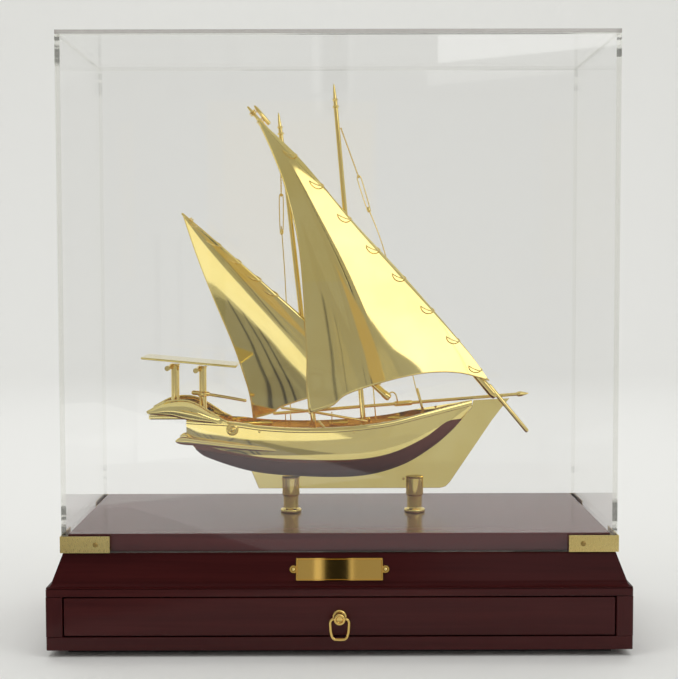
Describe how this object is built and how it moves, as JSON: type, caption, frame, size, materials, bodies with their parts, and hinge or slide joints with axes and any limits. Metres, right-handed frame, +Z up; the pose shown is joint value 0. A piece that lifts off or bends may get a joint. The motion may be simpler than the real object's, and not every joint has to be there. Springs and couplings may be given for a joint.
{
  "type": "display case",
  "caption": "Wooden display case with a drawer and a lift-off clear cover, holding a brass sailing ship on two posts.",
  "frame": {"origin": "middle of the felt under the case, on the surface that it stands on", "axes": "+Z up; the front with the drawer faces -Y; +X runs along the case to the ship's bow, on the right seen from the front"},
  "size_m": [0.42, 0.203, 0.446],
  "materials": {
    "felt": "matt black felt",
    "mahogany": "dark red glossy lacquer",
    "drawer_wood": "satin light hardwood",
    "brass": "polished",
    "acrylic": "clear, with polished edges",
    "gold_plate": "gold-plated mirror polish",
    "ship_deck": "warm satin",
    "enamel": "glossy brown"
  },
  "bodies": {
    "base": {"felt_base": "felt", "plinth_board": "mahogany", "carcass_bottom": "mahogany", "carcass_side_left": "mahogany", "carcass_side_right": "mahogany", "carcass_back": "mahogany", "carcass_top": "mahogany", "cove_front": "mahogany", "cove_rear": "mahogany", "cove_left": "mahogany", "cove_right": "mahogany", "display_deck": "mahogany", "nameplate": "brass", "nameplate_pin_left": "brass", "nameplate_pin_right": "brass", "stand_post_aft": "brass", "stand_post_fore": "brass", "keel_plate": "gold_plate", "hull": "gold_plate", "main_mast": "gold_plate", "mizzen_mast": "gold_plate", "main_yard": "gold_plate", "mizzen_yard": "gold_plate", "main_sail": "gold_plate", "mizzen_sail": "gold_plate", "bowsprit": "gold_plate", "main_stay": "gold_plate", "mizzen_stay": "gold_plate", "stern_gallery": "gold_plate", "poop_canopy": "gold_plate", "poop_post_aft": "gold_plate", "poop_post_fore": "gold_plate", "poop_rail": "gold_plate", "hull_deck": "ship_deck"},
    "cover": {"cover_front": "acrylic", "cover_rear": "acrylic", "cover_left": "acrylic", "cover_right": "acrylic", "cover_top": "acrylic", "corner_bracket_front_left": "brass", "corner_bracket_front_right": "brass", "corner_bracket_rear_left": "brass", "corner_bracket_rear_right": "brass", "bracket_screw_front_left_a": "brass", "bracket_screw_front_left_b": "brass", "bracket_screw_front_right_a": "brass", "bracket_screw_front_right_b": "brass", "bracket_screw_rear_left_a": "brass", "bracket_screw_rear_left_b": "brass", "bracket_screw_rear_right_a": "brass", "bracket_screw_rear_right_b": "brass"},
    "drawer": {"drawer_front": "mahogany", "drawer_side_left": "drawer_wood", "drawer_side_right": "drawer_wood", "drawer_back": "drawer_wood", "drawer_bottom": "drawer_wood", "pull_rosette": "brass", "pull_stud": "brass", "pull_nut": "brass"},
    "bail": {"pull_bail": "brass"}
  },
  "joints": [
    {"name": "cover_lift", "type": "slide", "parent": "base", "child": "cover", "axis": [0, 0, 1], "range_m": [0, 0.38]},
    {"name": "drawer_slide", "type": "slide", "parent": "base", "child": "drawer", "axis": [0, -1, 0], "range_m": [0, 0.14]},
    {"name": "bail_swing", "type": "hinge", "parent": "drawer", "child": "bail", "pos_m": [0, -0.10325, 0.02915], "axis": [-1, 0, 0], "range_deg": [-10, 150]}
  ]
}
